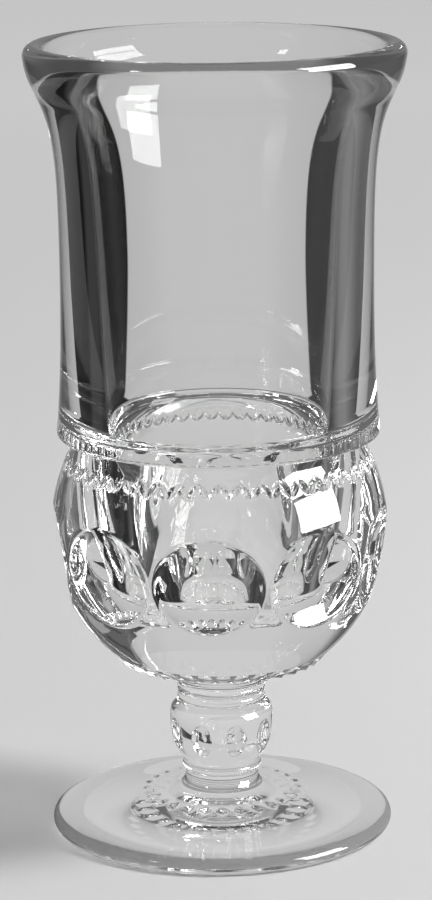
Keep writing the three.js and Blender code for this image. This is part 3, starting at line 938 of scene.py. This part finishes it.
class GLASS_OT_stage(Operator):
    """Build the floor, the light and the camera"""

    bl_idname = "glass.stage"
    bl_label = "Stage"

    def execute(self, context):
        self.look = context.scene.glass_stage
        context.scene.view_settings.view_transform = "Standard"
        self.add_floor()
        self.add_world(context.scene)
        for pane in WINDOW_PANES:
            window = self.add_light(pane, self.look.window_power * pane.height)
            window.visible_diffuse = False
        fill = self.add_light(FILL_LAMP, self.look.fill_power)
        fill.visible_diffuse = False
        key = self.add_light(KEY_LAMP, self.look.key_power)
        key.visible_glossy = False
        key.visible_transmission = False
        self.add_camera(context.scene)
        return {"FINISHED"}

    def add_floor(self):
        clear_selection()
        bpy.ops.mesh.primitive_plane_add(size=self.look.floor_size)
        floor = active_mesh("floor")
        floor.data.materials.append(material("pale_floor", self.floor_surface))

    def floor_surface(self, tree):
        """A pale floor with painted light, an emission that makes it lighter towards the back."""
        place = add_node(tree, "ShaderNodeTexCoord").outputs["Object"]
        paint = add_node(tree, "ShaderNodeBsdfDiffuse", {"Color": self.look.floor_colour})
        glow = {
            "Value": level_axes(tree, place)[1],
            "From Min": self.look.glow_start,
            "From Max": self.look.glow_end,
            "To Max": self.look.painted_back_light,
        }
        strength = add_node(tree, "ShaderNodeMapRange", glow).outputs[0]
        # Painted light: an emission on the floor that grows towards the back.
        painted_back_glow = add_node(tree, "ShaderNodeEmission", {"Strength": strength})
        plain = add_node(tree, "ShaderNodeAddShader", {0: paint.outputs[0], 1: painted_back_glow.outputs[0]})
        # For glass rays the floor shows painted light and shade instead of its lit colour.
        return self.ray_mix(tree, plain.outputs[0], *self.painted_ground_in_glass(tree, place))

    def painted_ground_in_glass(self, tree, place):
        """Painted light and shade for glass: a pale ground that widens behind the glass, with painted dark
        sides beyond it.
        """
        x, y = level_axes(tree, place)
        around = around_axis(tree, x, y)
        sides = grey_ramp(tree, around, PAINTED_GROUND_SIDES)
        look = self.look
        behind = math_node(tree, "MAXIMUM", y, 0.0)
        sideways = math_node(tree, "ABSOLUTE", x)
        sideways = math_node(tree, "MULTIPLY_ADD", behind, -look.strip_spread, sideways)
        further = math_node(tree, "SUBTRACT", y, look.strip_length)
        further = math_node(tree, "MAXIMUM", further, 0.0)
        sideways = math_node(tree, "MULTIPLY_ADD", further, -look.strip_flare, sideways)
        front = look.strip_front - look.strip_half_width
        forwards = math_node(tree, "MULTIPLY_ADD", y, -1.0, -front)
        reach = math_node(tree, "MAXIMUM", sideways, forwards)
        low = look.strip_half_width - look.strip_softness / 2.0
        high = look.strip_half_width + look.strip_softness / 2.0
        edge = {"Value": reach, "From Min": low, "From Max": high}
        fade = add_node(tree, "ShaderNodeMapRange", edge, interpolation_type="SMOOTHSTEP")
        away = add_node(tree, "ShaderNodeVectorMath", {0: place}, operation="LENGTH").outputs["Value"]
        pale = add_node(tree, "ShaderNodeValToRGB", {0: away})
        near, far = pale.color_ramp.elements
        near.position = look.near_reach
        near.color = look.painted_near_ground
        far.position = look.far_reach
        far.color = look.painted_far_ground
        through = mixed_colour(tree, fade.outputs[0], pale.outputs[0], sides)
        return through, grey_ramp(tree, around, PAINTED_GROUND_REFLECTION)

    def ray_mix(self, tree, plain, through, mirrored):
        """Plain to the eye and to soft light, and the surroundings in glass as glowing greys; on the floor
        these greys are painted light and shade, with the room colour as the least that trapped light
        shows.
        """
        path = add_node(tree, "ShaderNodeLightPath")
        room = mixed_colour(tree, trapped_light(tree), mirrored, self.look.room_colour, "LIGHTEN")
        seen = plain
        for ray, surroundings in (("Is Glossy Ray", room), ("Is Transmission Ray", through)):
            light = add_node(tree, "ShaderNodeEmission", {"Color": surroundings})
            inputs = {0: path.outputs[ray], 1: seen, 2: light.outputs[0]}
            seen = add_node(tree, "ShaderNodeMixShader", inputs).outputs[0]
        return seen

    def add_world(self, scene):
        world = bpy.data.worlds.new("studio")
        scene.world = world
        tree = node_tree(world)
        place = add_node(tree, "ShaderNodeTexCoord").outputs["Generated"]
        sky = {"Color": self.look.sky_colour, "Strength": self.look.sky_strength}
        soft = add_node(tree, "ShaderNodeBackground", sky)
        around = around_axis(tree, *level_axes(tree, place))
        through = grey_ramp(tree, around, SKY_THROUGH)
        mirrored = grey_ramp(tree, around, SKY_MIRRORED)
        seen = self.ray_mix(tree, soft.outputs[0], through, mirrored)
        add_node(tree, "ShaderNodeOutputWorld", {"Surface": seen})

    def add_light(self, lamp, power):
        aim = direction(math.radians(lamp.azimuth), math.radians(lamp.elevation))
        target = Vector((0.0, 0.0, LIT_HEIGHT))
        bpy.ops.object.light_add(type="AREA", location=target + aim * lamp.distance)
        light = bpy.context.object
        light.name = lamp.name
        light.rotation_euler = aim.to_track_quat("Z", "Y").to_euler()
        light.data.shape = "RECTANGLE"
        light.data.size = lamp.width
        light.data.size_y = lamp.height
        light.data.energy = power
        light.visible_camera = False
        return light

    def add_camera(self, scene):
        look = self.look
        bpy.ops.object.camera_add()
        camera = bpy.context.object
        camera.name = "photo_camera"
        place = Matrix.Translation((-look.camera_offset, -look.camera_distance, look.camera_height))
        tilt = Matrix.Rotation(RIGHT_ANGLE - look.camera_pitch, 4, "X")
        camera.matrix_world = place @ tilt @ Matrix.Rotation(look.camera_roll, 4, "Z")
        camera.data.lens = look.camera_lens
        scene.camera = camera


class GLASS_PT_sidebar(Panel):
    """Lists the pieces of the glass in the order they are built"""

    bl_idname = "GLASS_PT_sidebar"
    bl_label = "Iced tea glass"
    bl_space_type = "VIEW_3D"
    bl_region_type = "UI"
    bl_category = "Glass"

    def draw(self, context):
        for operator in BUILD_ORDER:
            self.layout.operator(operator.bl_idname)


PROPERTY_GROUPS = {
    "glass_cup": CupSizes,
    "glass_bulb": BulbSizes,
    "glass_stem": StemSizes,
    "glass_foot": FootSizes,
    "glass_finish": GlassFinish,
    "glass_stage": StageLook,
}
BUILD_ORDER = [
    GLASS_OT_stage,
    GLASS_OT_foot,
    GLASS_OT_base_ring,
    GLASS_OT_knop,
    GLASS_OT_collar,
    GLASS_OT_bulb,
    GLASS_OT_cup,
]


def register():
    for name, group in PROPERTY_GROUPS.items():
        bpy.utils.register_class(group)
        setattr(bpy.types.Scene, name, PointerProperty(type=group))
    for operator in BUILD_ORDER:
        bpy.utils.register_class(operator)
    bpy.utils.register_class(GLASS_PT_sidebar)


def unregister():
    bpy.utils.unregister_class(GLASS_PT_sidebar)
    for operator in reversed(BUILD_ORDER):
        bpy.utils.unregister_class(operator)
    for name, group in PROPERTY_GROUPS.items():
        delattr(bpy.types.Scene, name)
        bpy.utils.unregister_class(group)


def main():
    register()
    for operator in BUILD_ORDER:
        module, name = operator.bl_idname.split(".")
        getattr(getattr(bpy.ops, module), name)()


if __name__ == "__main__":
    main()
